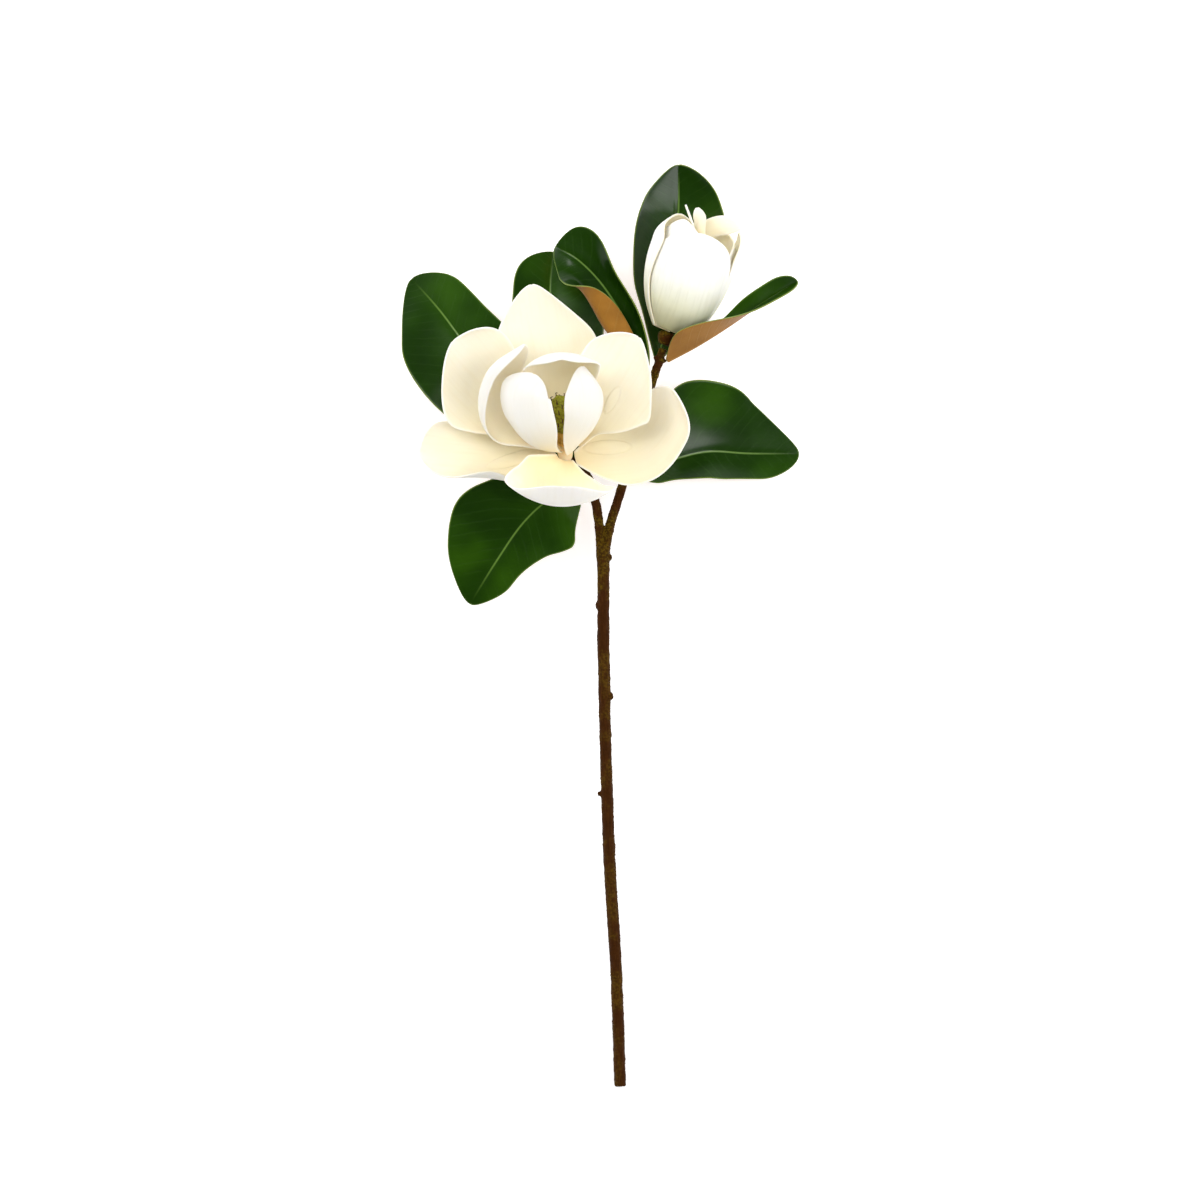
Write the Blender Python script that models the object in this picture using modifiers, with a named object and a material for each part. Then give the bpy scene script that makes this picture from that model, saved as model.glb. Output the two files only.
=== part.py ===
"""A magnolia spray: an open flower, a bud and seven leaves on a forked stem, lying on a flat surface.

The spray lies with its cut end towards -Y and its face up. Tables are in millimetres, measured
from the cut end of the stem; every mesh is in metres. A petal or a leaf is one "blade": a spine
from its base to its tip, the way its face looks, half-widths, and how far its edges curl up,
in degrees. Each of these is a list of evenly spaced stations from the base to the tip.
"""

import math

import bmesh
import bpy
import numpy as np
from mathutils import Matrix, Vector

# Driving dimensions, in millimetres unless the name says otherwise.
MM = 0.001
STEM_RADII = (4.5, 4.7, 4.7, 4.7, 4.9)
TWIG_RADII = [4.0, 3.6, 3.5, 3.3, 3.2]
PETAL_THICKNESS = 1.6
BUD_PETAL_THICKNESS = 1.5
LEAF_THICKNESS = 1.3
PETAL_CELLS = (8, 10)
LEAF_CELLS = (6, 11)
BUD_CELLS = (8, 8)
BUD_TIP_CELLS = (4, 5)
TIP_CROWDING = 1.5
ARC_STEPS = 12
SMALLEST_HALF_WIDTH = 3.0
BUD_TIP = 0.25
BASE_CENTRE = (-4, 355.5, 0)

# The stem runs from its cut end to the fork, and one twig goes on to the flower, one to the bud.
STEM_PATH = [
    (11, 0, 4.6), (8, 86, 9), (3, 170, 13), (0, 252, 17),
    (-1, 298, 19), (-2, 346, 21), (-2, 385, 23), (-2, 417, 24)]
FLOWER_TWIG_PATH = [
    (-3, 402, 23), (-5, 430, 25), (-8, 450, 29), (-13, 468, 37), (-21, 478, 47), (-27, 482, 54)]
BUD_TWIG_PATH = [
    (-2, 400, 23), (2, 428, 25), (13, 464, 29), (25, 503, 34), (35, 541, 38), (40, 556, 39), (44, 568, 40)]

# Turned pieces: where each one's axis starts and points, then its heights and radii along that axis.
FLOWER_BASE = (-31, 486, 59)
FLOWER_AXIS = (-0.08, 0.76, 0.64)
RECEPTACLE_PROFILE = [(-4, 0), (-4, 3), (-2, 5), (4, 6), (10, 5), (12, 3), (12, 0)]
STAMEN_PROFILE = [(12.4, 0), (12.4, 5), (16, 8), (22, 8.5), (26, 7), (26, 0)]
CONE_PROFILE = [(26.4, 0), (26.4, 6), (34, 8.5), (42, 9), (50, 7.5), (56, 4), (58, 0)]
BUD_BASE = (46, 575, 40)
BUD_BASE_AXIS = (0.3, 0.95, 0)
BUD_RECEPTACLE_PROFILE = [(-4, 0), (-4, 4), (-1, 6), (3, 7), (6, 5), (6, 0)]
BUD_HEART_BASE = (52, 590, 40)
BUD_HEART_PROFILE = [(0, 0), (0, 8), (10, 16), (25, 20), (40, 19), (52, 12), (58, 0)]

# The bud's own shape, round which its petals are wrapped.
BUD_AXIS = [(49, 579, 40), (58, 602, 40), (65, 626, 41), (71, 649, 43), (75, 673, 45)]
BUD_RADII = [10, 23, 29.5, 32.5, 32.5, 29.5, 13]

FLOWER_PETALS = {
    "petal_back": dict(
        spine=[(-32, 491, 52), (-39, 523, 42), (-46, 557, 38), (-52, 586, 41), (-57, 617, 49)],
        face=[(0, -0.3, 1), (0, 0, 1), (0, -0.2, 1)],
        left=[6, 22, 34, 38, 33, 23], right=[6, 26, 41, 44, 34, 19],
        curl_left=[15, 20, 30], curl_right=[20, 30, 30]),
    "petal_left": dict(
        spine=[(-38, 492, 56), (-59, 515, 52), (-82, 536, 53), (-100, 554, 61), (-117, 573, 74)],
        face=[(0.3, -0.3, 1), (0.3, -0.2, 1), (0.5, -0.3, 1)],
        left=[5, 16, 38, 52, 48, 36], right=[6, 16, 24, 30, 38, 50],
        curl_left=[30, 45, 40], curl_right=[20, 35, 35]),
    "petal_inner_left": dict(
        spine=[(-38, 493, 60), (-62, 505, 60), (-83, 522, 66), (-84, 548, 78), (-62, 570, 90)],
        face=[(0.4, -0.2, 1), (0.6, -0.2, 0.8), (0.8, -0.4, 0.5)],
        left=[5, 12, 26, 32, 27, 18], right=[5, 14, 24, 27, 23, 16],
        curl_left=[20, 40, 80, 125, 140, 130], curl_right=[20, 20, 20], tip=0.18, bend=[0, 0.1, 0.4, 1]),
    "petal_right": dict(
        spine=[(-24, 494, 57), (-18, 513, 61), (-3, 534, 63), (10, 551, 68), (25, 576, 76)],
        face=[(-0.3, -0.3, 1), (-0.3, -0.3, 1), (-0.4, -0.4, 1)],
        left=[5, 19, 28, 31, 32, 27], right=[6, 18, 36, 45, 31, 14],
        curl_left=[20, 30, 30], curl_right=[20, 30, 40], tip=0.2),
    "petal_lower_right": dict(
        spine=[(-24, 484, 60), (0, 486, 52), (27, 491, 50), (45, 512, 58), (49, 538, 72)],
        face=[(-0.1, 0.4, 1), (-0.2, 0.3, 1), (-0.6, 0.1, 1)],
        left=[5, 20, 34, 34, 28, 22], right=[6, 26, 38, 40, 36, 27],
        curl_left=[20, 30, 30], curl_right=[20, 50, 60, 40], tip=0.22),
    "petal_lower_left": dict(
        spine=[(-38, 482, 57), (-68, 478, 48), (-93, 480, 52), (-119, 483, 63), (-143, 486, 78)],
        face=[(0.1, 0.4, 1), (0.2, 0.4, 1), (0.6, 0.3, 1)],
        left=[6, 24, 32, 34, 34, 36], right=[6, 22, 33, 31, 31, 40],
        curl_left=[30, 110, 60], curl_right=[20, 30, 30], tip=0.3),
    "petal_front": dict(
        spine=[(-31, 482, 67), (-34, 464, 84), (-34, 449, 105), (-33, 448, 126), (-32, 461, 142)],
        face=[(0, 0.7, 0.7), (0, 1, 0.2), (0, 0.9, -0.5)],
        left=[6, 24, 38, 44, 28], right=[10, 42, 50, 48, 30],
        curl_left=[30, 45, 20], curl_right=[90, 95, 50, 20]),
    "petal_hood": dict(
        spine=[(-30, 499, 61), (-32, 524, 66), (-34, 549, 78), (-34, 563, 98), (-34, 558, 116)],
        face=[(0, -0.3, 1), (0, -0.6, 0.8), (0, -1, 0)],
        left=[6, 18, 26, 32, 32, 24], right=[6, 18, 26, 31, 31, 24],
        curl_left=[20, 50, 40], curl_right=[20, 35, 30], tip=0.3),
    "petal_inner_front_left": dict(
        spine=[(-37, 489, 69), (-52, 492, 90), (-61, 508, 106), (-64, 531, 112), (-55, 547, 108)],
        face=[(0.6, 0.3, -0.6), (0.5, 0.1, -0.8), (0.3, -0.3, -0.8)],
        left=[5, 15, 23, 24, 22, 20], right=[5, 13, 21, 25, 26, 26],
        curl_left=[20, 45, 40], curl_right=[20, 45, 40], tip=0.2),
    "petal_inner_front_right": dict(
        spine=[(-26, 489, 69), (-21, 495, 90), (-12, 514, 104), (-12, 535, 107), (-18, 553, 101)],
        face=[(-0.6, 0.3, -0.6), (-0.6, 0.1, -0.8), (-0.5, -0.4, -0.7)],
        left=[5, 7, 12, 17, 16, 11], right=[5, 11, 19, 22, 20, 15],
        curl_left=[20, 45, 40], curl_right=[20, 45, 40]),
}

# A wrapped bud petal lies on the bud's own turned shape: the angle of its middle (0 is to the right,
# 90 faces up), how far it reaches to each side, its two ends along the bud, and its layer's depth.
# Flare is how far its tip opens away from the bud.
BUD_WRAPS = {
    "bud_petal_front": dict(middle=92, spread=[72, 68, 66, 64, 60, 54], ends=(0.02, 0.84), layer=0),
    "bud_petal_left": dict(middle=212, spread=[56, 58, 60, 68, 72, 64], ends=(0.02, 0.95), layer=2.4),
    "bud_petal_right": dict(
        middle=-8, spread=[44, 42, 38, 34, 32, 28], ends=(0.02, 0.88), layer=-2.2, flare=6),
    "bud_petal_inner_left": dict(middle=140, spread=[40, 54, 58, 58, 58, 50], ends=(0.2, 0.92), layer=-4.4),
    "bud_petal_back": dict(middle=295, spread=[80, 88, 90, 92, 90, 80], ends=(0.2, 0.87), layer=-4.4),
}
BUD_TIPS = {
    "bud_tip_flared": dict(
        spine=[(70, 648, 34), (74, 657, 36), (84, 662, 38), (94, 663, 41), (105, 661, 44)],
        face=[(0, 0, -1), (0, 0, -1), (0, -0.5, -1)],
        left=[4, 7, 8, 8, 6], right=[4, 7, 8, 8, 6], curl_left=[20, 30, 30], curl_right=[20, 30, 30]),
    "bud_tip_curled": dict(
        spine=[(72, 651, 48), (72, 660, 49), (72, 669, 49), (70, 676, 46)],
        face=[(0, 0, -1), (0, 0, -1), (0, -1, -1)],
        left=[4, 6, 7, 5], right=[4, 6, 7, 5], curl_left=[60, 100, 60], curl_right=[60, 100, 60]),
    "bud_tip_spike": dict(
        spine=[(69, 651, 57), (67, 660, 58), (64, 669, 58), (61, 678, 57)],
        face=[(1, 0, 0), (1, 0.2, 0), (1, 0.3, 0)],
        left=[2, 3, 3, 2], right=[2, 3, 3, 2], curl_left=[10, 20, 10], curl_right=[10, 20, 10]),
}

LEAVES = {
    "leaf_upper_left": dict(
        spine=[(-18, 472, 35), (-58, 513, 31), (-97, 557, 25), (-127, 597, 14), (-150, 623, 0.8)],
        face=[(0, 0, 1), (0, 0, 1), (0, 0, 1)],
        left=[3, 24, 41, 49, 46, 29, 16], right=[3, 18, 29, 35, 30, 26, 19],
        curl_left=[0, 10, 0], curl_right=[0, 10, 0], fold=6, tip=0.2),
    "leaf_behind_flower": dict(
        spine=[(-12, 474, 33), (-30, 518, 22), (-37, 562, 16), (-43, 608, 9), (-41, 644, 0.8)],
        face=[(0, 0, 1), (0, 0, 1), (0, 0, 1)],
        left=[3, 16, 27, 33, 29, 30], right=[3, 17, 30, 40, 40, 36],
        curl_left=[0, 10, 0], curl_right=[0, 10, 0], fold=8, tip=0.2),
    "leaf_curled": dict(
        spine=[
            (29.6, 544.6, 38.4), (26, 567, 34), (14, 592, 32), (-4, 619, 32), (-22, 637, 32), (-39, 647, 28)],
        face=[(-0.2, 0, 1), (0, 0, 1), (0, 0, 1)],
        left=[3, 24, 42, 34, 22, 14], right=[3, 10, 18, 18, 25, 26],
        curl_left=[60, 190, 200, 140, 20, 0], curl_right=[20, 60, 75, 60, 10, 0],
        bend=[0, 0.1, 0.8, 1], fold=6, tip=0.2),
    "leaf_behind_bud": dict(
        spine=[(40, 560, 32), (49, 599, 6), (53, 636, 1), (56, 677, 2), (56, 711, 6)],
        face=[(0, 0, 1), (0, 0, 1), (0, 0, 1)],
        left=[3, 18, 29, 33, 33, 26, 15], right=[3, 17, 29, 37, 39, 31, 24],
        curl_left=[0, 10, 10], curl_right=[0, 10, 20], fold=6, tip=0.2),
    "leaf_twisted": dict(
        spine=[(47, 558, 42), (70, 570, 46), (94, 585, 48), (120, 603, 50), (147, 620, 46)],
        face=[(-0.45, 0.9, -0.1), (-0.45, 0.9, 0.1), (-0.4, 0.8, 0.4), (-0.2, 0.5, 0.85), (-0.1, 0.2, 1)],
        left=[3, 6, 7, 8, 11, 12, 12], right=[3, 24, 26, 20, 14, 10, 9],
        curl_left=[0, 10, 0], curl_right=[0, 10, 0], fold=40, tip=0.14),
    "leaf_right": dict(
        spine=[(23, 470, 31), (43, 480, 27), (77, 489, 21), (110, 488, 12), (149, 488, 0.8)],
        face=[(0, 0, 1), (0, 0, 1), (0, 0, 1)],
        left=[3, 9, 34, 56, 54, 44, 27, 13], right=[3, 13, 16, 21, 23, 21, 20, 17],
        curl_left=[0, 10, 0], curl_right=[0, 30, 0], fold=6, tip=0.2),
    "leaf_lower_left": dict(
        spine=[(-17, 465, 32), (-43, 453, 29), (-64, 434, 23), (-85, 404, 12), (-105, 372, 0.8)],
        face=[(0, 0, 1), (0, 0, 1), (0, 0, 1)],
        left=[3, 26, 40, 39, 30, 22, 19, 12], right=[3, 18, 31, 42, 52, 46, 33, 19],
        curl_left=[0, 10, 0], curl_right=[0, 10, 0], fold=6, tip=0.2),
}


def smooth(values, t):
    """A smooth curve through evenly spaced stations: values has one row for each, t runs from 0 to 1."""
    rows = np.asarray(values, float)
    rows = rows.reshape(len(rows), -1)
    rows = np.concatenate([2 * rows[:1] - rows[1:2], rows, 2 * rows[-1:] - rows[-2:-1]])
    place = np.clip(np.asarray(t, float), 0, 1) * (len(rows) - 3)
    index = np.minimum(place.astype(int), len(rows) - 4)
    f = (place - index)[:, None]
    before, start, end, after = (rows[index + k] for k in range(4))
    curve = 2 * start + (end - before) * f
    curve += (2 * before - 5 * start + 4 * end - after) * f**2
    curve += (3 * start - before - 3 * end + after) * f**3
    return curve / 2


def unit(vectors):
    return vectors / np.linalg.norm(vectors, axis=-1, keepdims=True)


def spine_directions(spine, t):
    step = 0.01
    return unit(smooth(spine, np.minimum(t + step, 1)) - smooth(spine, np.maximum(t - step, 0)))


def blade_points(blade, u, s):
    """Points of a petal or leaf: u runs from base to tip, s from its left edge (-1) to its right (1)."""
    t = 1 - (1 - u) ** TIP_CROWDING
    along = spine_directions(blade["spine"], t)
    face = smooth(blade["face"], t)
    face = unit(face - np.sum(face * along, axis=1, keepdims=True) * along)
    side = np.cross(along, face)
    half, curl = (
        np.where(s < 0, smooth(blade[left], t)[:, 0], smooth(blade[right], t)[:, 0])
        for left, right in (("left", "right"), ("curl_left", "curl_right"))
    )
    tip = blade.get("tip", 0.35)
    closing = np.clip((t - 1 + tip) / tip, 0, 1)
    half = np.maximum(half * np.sqrt(1 - closing**2), SMALLEST_HALF_WIDTH)
    reach = np.abs(s)
    steps = (np.arange(ARC_STEPS)[:, None] + 0.5) / ARC_STEPS
    share = smooth(blade.get("bend", (0, 0.5, 1)), (reach * steps).ravel())[:, 0].reshape(ARC_STEPS, -1)
    turn = np.radians(blade.get("fold", 0) + curl * share)
    out = np.sign(s) * half * reach * np.cos(turn).mean(axis=0)
    lift = half * reach * np.sin(turn).mean(axis=0)
    return smooth(blade["spine"], t) + out[:, None] * side + lift[:, None] * face


def bud_points(petal, u, s):
    """Points of a petal wrapped round the bud: u runs up the bud, s across the petal."""
    t = 1 - (1 - u) ** TIP_CROWDING
    start, end = petal["ends"]
    height = start + (end - start) * t
    along = spine_directions(BUD_AXIS, height)
    right = unit(np.cross(along, (0, 0, 1)))
    toward = np.cross(right, along)
    closing = np.clip((t - 1 + BUD_TIP) / BUD_TIP, 0, 1)
    spread = np.maximum(smooth(petal["spread"], t)[:, 0] * np.sqrt(1 - closing**2), 2)
    angle = np.radians(petal["middle"] - s * spread)
    radius = smooth(BUD_RADII, height)[:, 0] + petal["layer"] + petal.get("flare", 0) * t**4
    outward = np.cos(angle)[:, None] * right + np.sin(angle)[:, None] * toward
    return smooth(BUD_AXIS, height) + radius[:, None] * outward


def make_material(name, colour, roughness):
    material = bpy.data.materials.new(name)
    material.use_nodes = True
    shader = material.node_tree.nodes["Principled BSDF"]
    shader.inputs["Base Color"].default_value = (*colour, 1)
    shader.inputs["Roughness"].default_value = roughness
    shader.inputs["Metallic"].default_value = 0
    return material


def finish(mesh, name, material):
    """Puts a mesh in the spray's collection, shaded smooth, with its material."""
    mesh.name = name
    mesh.shade_smooth()
    mesh.materials.clear()
    mesh.materials.append(material)
    piece = bpy.data.objects.new(name, mesh)
    spray.objects.link(piece)
    return piece


def sheet(name, shape, pattern, cells, thickness, material):
    """A bent grid given a wall: shape works out from the pattern where each of its points goes."""
    grid = bmesh.new()
    across, along = cells
    bmesh.ops.create_grid(grid, x_segments=across, y_segments=along, size=1)
    flat = np.array([vertex.co for vertex in grid.verts])
    places = shape(pattern, (flat[:, 1] + 1) / 2, flat[:, 0]) - BASE_CENTRE
    for vertex, place in zip(grid.verts, places * MM):
        vertex.co = place
    mesh = bpy.data.meshes.new(name)
    grid.to_mesh(mesh)
    grid.free()
    piece = finish(mesh, name, material)
    wall = piece.modifiers.new("Wall", "SOLIDIFY")
    wall.thickness = thickness * MM
    wall.offset = 0
    return piece


def tube(name, path, radii, points):
    """A closed round tube along a smooth path, as a mesh that a Boolean can take."""
    t = np.linspace(0, 1, points)
    curve = bpy.data.curves.new(name, "CURVE")
    curve.dimensions = "3D"
    curve.bevel_depth = MM
    curve.bevel_resolution = 2
    curve.use_fill_caps = True
    spline = curve.splines.new("POLY")
    spline.points.add(points - 1)
    for point, place, radius in zip(spline.points, smooth(path, t) - BASE_CENTRE, smooth(radii, t)[:, 0]):
        point.co = (*place * MM, 1)
        point.radius = radius
    carrier = bpy.data.objects.new(name, curve)
    spray.objects.link(carrier)
    graph = bpy.context.evaluated_depsgraph_get()
    mesh = bpy.data.meshes.new_from_object(carrier.evaluated_get(graph))
    mesh.transform(carrier.matrix_world)
    bpy.data.objects.remove(carrier)
    welded = bmesh.new()
    welded.from_mesh(mesh)
    bmesh.ops.remove_doubles(welded, verts=welded.verts, dist=0.00001)
    bmesh.ops.recalc_face_normals(welded, faces=welded.faces)
    welded.to_mesh(mesh)
    welded.free()
    return mesh


def turned(name, base, axis, profile, material, sides=14):
    """A turned piece on a slanting axis: profile gives heights and radii from its base up."""
    outline = bmesh.new()
    corners = [outline.verts.new((radius * MM, 0, height * MM)) for height, radius in profile]
    edges = [outline.edges.new(pair) for pair in zip(corners, corners[1:])]
    bmesh.ops.spin(
        outline, geom=corners + edges, axis=(0, 0, 1), cent=(0, 0, 0), angle=2 * math.pi,
        steps=sides, use_merge=True)
    bmesh.ops.remove_doubles(outline, verts=outline.verts, dist=0.00001)
    bmesh.ops.recalc_face_normals(outline, faces=outline.faces)
    place = Matrix.Translation((Vector(base) - Vector(BASE_CENTRE)) * MM)
    turn = Vector(axis).to_track_quat("Z", "Y").to_matrix().to_4x4()
    bmesh.ops.transform(outline, matrix=place @ turn, verts=outline.verts)
    mesh = bpy.data.meshes.new(name)
    outline.to_mesh(mesh)
    outline.free()
    return finish(mesh, name, material)


def make_stem(material):
    """The forked stem is one piece of wood: its two twigs are joined on by Boolean unions."""
    stem = finish(tube("stem", STEM_PATH, STEM_RADII, 34), "stem", material)
    for name, path in (("flower_twig", FLOWER_TWIG_PATH), ("bud_twig", BUD_TWIG_PATH)):
        twig = bpy.data.objects.new(name, tube(name, path, TWIG_RADII, 16))
        cutters.objects.link(twig)
        twig.hide_render = True
        twig.display_type = "WIRE"
        join = stem.modifiers.new(name, "BOOLEAN")
        join.operation = "UNION"
        join.object = twig
    return stem


def make_spray():
    bark = make_material("bark", (0.09, 0.05, 0.02), 0.7)
    ivory = make_material("petal_ivory", (0.95, 0.87, 0.66), 0.5)
    bud_white = make_material("bud_white", (0.93, 0.92, 0.84), 0.5)
    leaf_green = make_material("leaf_green", (0.02, 0.07, 0.008), 0.3)
    cone_green = make_material("seed_cone", (0.33, 0.35, 0.05), 0.7)
    stamen_yellow = make_material("stamen", (0.85, 0.55, 0.12), 0.7)
    make_stem(bark)
    turned("flower_receptacle", FLOWER_BASE, FLOWER_AXIS, RECEPTACLE_PROFILE, ivory)
    turned("stamen_ring", FLOWER_BASE, FLOWER_AXIS, STAMEN_PROFILE, stamen_yellow)
    turned("seed_cone", FLOWER_BASE, FLOWER_AXIS, CONE_PROFILE, cone_green)
    turned("bud_receptacle", BUD_BASE, BUD_BASE_AXIS, BUD_RECEPTACLE_PROFILE, bark)
    turned("bud_heart", BUD_HEART_BASE, BUD_BASE_AXIS, BUD_HEART_PROFILE, bud_white)
    for name, petal in FLOWER_PETALS.items():
        sheet(name, blade_points, petal, PETAL_CELLS, PETAL_THICKNESS, ivory)
    for name, petal in BUD_WRAPS.items():
        sheet(name, bud_points, petal, BUD_CELLS, BUD_PETAL_THICKNESS, bud_white)
    for name, petal in BUD_TIPS.items():
        sheet(name, blade_points, petal, BUD_TIP_CELLS, BUD_PETAL_THICKNESS, bud_white)
    for name, leaf in LEAVES.items():
        sheet(name, blade_points, leaf, LEAF_CELLS, LEAF_THICKNESS, leaf_green)


for old in list(bpy.data.objects):
    bpy.data.objects.remove(old, do_unlink=True)
spray = bpy.data.collections.new("magnolia_spray")
cutters = bpy.data.collections.new("cutters")
bpy.context.scene.collection.children.link(spray)
bpy.context.scene.collection.children.link(cutters)
make_spray()
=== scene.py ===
# %% [markdown]
# # A cut magnolia branch
# This lesson dresses a plain model of a magnolia branch: a forked brown stem with an open flower,
# a bud and seven glossy leaves. The plain model fixes where everything is and how big it is. Each
# of its pieces is made again here with finer curves, rounded rims, relief and a painted finish.

# %% Load the plain model and remember its box
import math

import bmesh
import bpy
import numpy as np
from mathutils import Matrix, Vector, noise


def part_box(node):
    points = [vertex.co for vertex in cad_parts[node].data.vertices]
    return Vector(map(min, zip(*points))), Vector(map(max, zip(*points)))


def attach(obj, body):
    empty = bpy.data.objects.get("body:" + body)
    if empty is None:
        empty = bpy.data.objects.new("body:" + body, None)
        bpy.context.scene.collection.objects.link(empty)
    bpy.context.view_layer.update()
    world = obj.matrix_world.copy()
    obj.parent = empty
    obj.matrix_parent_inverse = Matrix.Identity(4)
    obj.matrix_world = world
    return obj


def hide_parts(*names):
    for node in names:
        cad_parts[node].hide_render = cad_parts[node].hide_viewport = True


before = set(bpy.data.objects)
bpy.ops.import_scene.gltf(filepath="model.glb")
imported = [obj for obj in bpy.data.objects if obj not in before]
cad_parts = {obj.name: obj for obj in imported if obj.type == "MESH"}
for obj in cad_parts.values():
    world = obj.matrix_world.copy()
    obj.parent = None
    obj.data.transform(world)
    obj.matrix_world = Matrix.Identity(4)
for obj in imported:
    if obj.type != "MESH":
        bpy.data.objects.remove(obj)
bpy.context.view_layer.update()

MM = 0.001

# %% [markdown]
# ## Curves through a few stations
# A grower would describe a leaf by a few numbers: how it bends, how wide it is at a third of its
# length, how far its edges turn up. Each such list holds evenly spaced stations, and this helper
# draws one smooth curve through them. A Catmull-Rom curve passes through every station, which a
# Bezier handle doesn't promise, so the numbers stay the real measures of the plant.


# %% A smooth curve through evenly spaced stations
def smooth(values, t):
    """One row for each t from 0 to 1, on the smooth curve through the rows of values."""
    rows = np.asarray(values, float)
    rows = rows.reshape(len(rows), -1)
    rows = np.concatenate([2 * rows[:1] - rows[1:2], rows, 2 * rows[-1:] - rows[-2:-1]])
    place = np.clip(np.asarray(t, float), 0, 1) * (len(rows) - 3)
    index = np.minimum(place.astype(int), len(rows) - 4)
    f = (place - index)[:, None]
    before, start, end, after = (rows[index + k] for k in range(4))
    curve = 2 * start + (end - before) * f
    curve += (2 * before - 5 * start + 4 * end - after) * f**2
    curve += (3 * start - before - 3 * end + after) * f**3
    return curve / 2


def unit(vectors):
    return vectors / np.linalg.norm(vectors, axis=-1, keepdims=True)


def directions(path, t):
    """The way a path runs at each t."""
    step = 0.01
    return unit(smooth(path, np.minimum(t + step, 1)) - smooth(path, np.maximum(t - step, 0)))


print("halfway from 0 over 4 to 6:", smooth([0, 4, 6], [0.5])[0, 0])

# %% [markdown]
# ## Writing shaders as sums
# A finish is worked out from numbers that change over a surface. Wiring Math nodes by hand soon
# gets hard to read, so a Channel stands for one socket, and a sum written with it adds the node.
# A Paint makes one material and holds every node that the finish needs.


# %% Channels and paints
class Channel:
    """A number in a shader. Sums with it add Math nodes."""

    def __init__(self, paint, socket):
        self.paint = paint
        self.socket = socket

    def math(self, operation, first, second=0.0):
        node = self.paint.node("ShaderNodeMath", {"operation": operation}, {0: first, 1: second})
        return Channel(self.paint, node.outputs[0])

    def __add__(self, other):
        return self.math("ADD", self, other)

    def __sub__(self, other):
        return self.math("SUBTRACT", self, other)

    def __rsub__(self, other):
        return self.math("SUBTRACT", other, self)

    def __mul__(self, other):
        return self.math("MULTIPLY", self, other)

    __radd__ = __add__
    __rmul__ = __mul__

    def size(self):
        return self.math("ABSOLUTE", self)

    def sine(self):
        return self.math("SINE", self)

    def rise(self, low, high):
        """0 below low, 1 above high, and a soft step between. Low may be above high."""
        node = self.paint.node(
            "ShaderNodeMapRange", {"interpolation_type": "SMOOTHSTEP"},
            {"Value": self, "From Min": low, "From Max": high})
        return Channel(self.paint, node.outputs[0])


class Paint:
    """A material with one Principled shader, and short ways to its nodes."""

    def __init__(self, name, **fixed):
        self.material = bpy.data.materials.new(name)
        self.material.use_nodes = True
        self.tree = self.material.node_tree
        self.shader = self.tree.nodes["Principled BSDF"]
        for socket, value in fixed.items():
            self.shader.inputs[socket.replace("_", " ")].default_value = value

    def node(self, kind, settings, values):
        """A node of any type: its settings are set first, then its sockets' values or links."""
        made = self.tree.nodes.new(kind)
        for name, setting in settings.items():
            setattr(made, name, setting)
        for name, value in values.items():
            self.put(made.inputs[name], value)
        return made

    def put(self, socket, value):
        if isinstance(value, Channel):
            value = value.socket
        if isinstance(value, bpy.types.NodeSocket):
            self.tree.links.new(value, socket)
        elif hasattr(value, "__len__") and socket.type == "RGBA":
            socket.default_value = (*value, 1)
        else:
            socket.default_value = value

    def read(self, name):
        """A number that was stored on the piece's points."""
        node = self.node("ShaderNodeAttribute", {"attribute_name": name}, {})
        return Channel(self, node.outputs["Fac"])

    def where(self, scale=(1, 1, 1)):
        """Object coordinates, stretched."""
        found = self.node("ShaderNodeTexCoord", {}, {})
        return self.node(
            "ShaderNodeMapping", {}, {"Vector": found.outputs["Object"], "Scale": scale}).outputs[0]

    def vector(self, x, y):
        return self.node("ShaderNodeCombineXYZ", {}, {"X": x, "Y": y}).outputs[0]

    def noise(self, vector, scale, detail):
        node = self.node("ShaderNodeTexNoise", {}, {"Vector": vector, "Scale": scale, "Detail": detail})
        return Channel(self, node.outputs["Fac"])

    def mix(self, factor, first, second):
        """A colour between two colours."""
        node = self.node("ShaderNodeMix", {"data_type": "RGBA"}, {0: factor, 6: first, 7: second})
        return node.outputs[2]

    def shades(self, factor, *colours):
        """A colour from evenly spaced colours."""
        node = self.node("ShaderNodeValToRGB", {}, {"Fac": factor})
        stops = node.color_ramp.elements
        stops[0].color, stops[1].color = (*colours[0], 1), (*colours[-1], 1)
        for place, colour in enumerate(colours[1:-1], 1):
            stops.new(place / (len(colours) - 1)).color = (*colour, 1)
        return node.outputs["Color"]

    def finish(self, colour, roughness, relief, depth):
        """Feeds the shader. Depth is how high the relief stands, in millimetres."""
        bump = self.node("ShaderNodeBump", {}, {"Height": relief, "Distance": depth * MM, "Strength": 1.0})
        self.put(self.shader.inputs["Base Color"], colour)
        self.put(self.shader.inputs["Roughness"], roughness)
        self.put(self.shader.inputs["Normal"], bump.outputs[0])
        return self.material


# %% [markdown]
# ## Where each thing is
# The stem is laid out first, because everything hangs on it. Its lengths are in millimetres from
# the cut end, with +Y along the stem, +X to the right and +Z up from the table. The plain model has
# its own origin, so the difference between the two is measured from the plain model's stem.
# A tube starts as a disc that is extruded ring by ring, and each new ring is moved to its place on
# the path. A bevelled curve would do too, but its rings can't be given knots of their own.


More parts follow.
